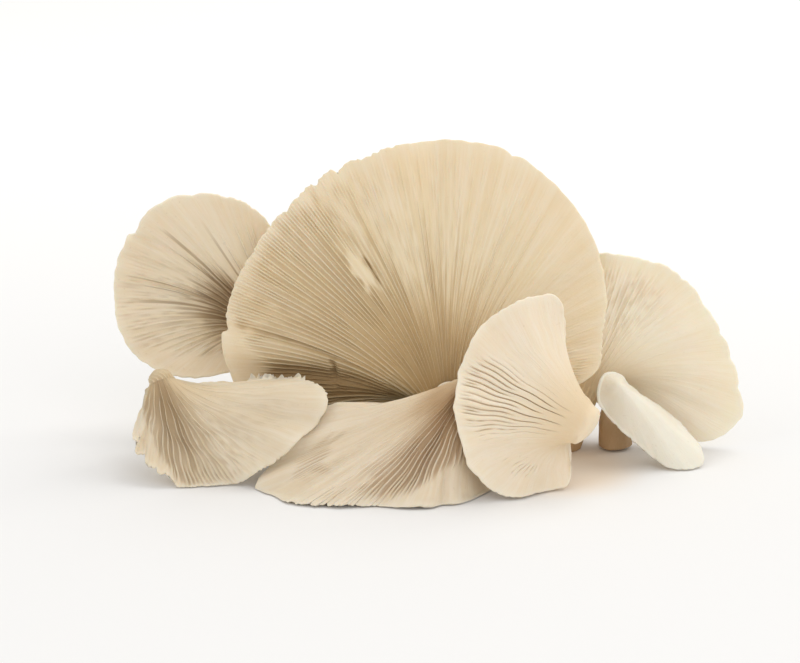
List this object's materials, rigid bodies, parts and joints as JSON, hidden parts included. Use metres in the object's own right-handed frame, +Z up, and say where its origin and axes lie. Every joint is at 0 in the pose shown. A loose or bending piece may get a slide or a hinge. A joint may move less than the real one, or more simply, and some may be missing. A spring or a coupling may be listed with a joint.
{
  "type": "oyster mushroom cluster",
  "caption": "Heap of fan-shaped oyster mushrooms with deep radiating gills, wavy thin margins and short cut stems, lying and leaning together on a table.",
  "frame": {"origin": "middle of the heap's footprint, on the table", "axes": "+Z up from the table, +X to the heap's right seen from the gilled front, -Y towards the gilled front"},
  "size_m": [0.2038, 0.0844, 0.1002],
  "materials": {
    "flesh_tan": "satin",
    "flesh_shaded": "satin",
    "flesh_pale": "satin"
  },
  "bodies": {
    "root": {"big_fan_mushroom": "flesh_tan", "rear_left_mushroom": "flesh_shaded", "front_left_mushroom": "flesh_shaded", "front_middle_mushroom": "flesh_tan", "front_right_mushroom": "flesh_pale", "rear_right_mushroom": "flesh_pale", "side_tongue_mushroom": "flesh_pale"}
  },
  "joints": []
}
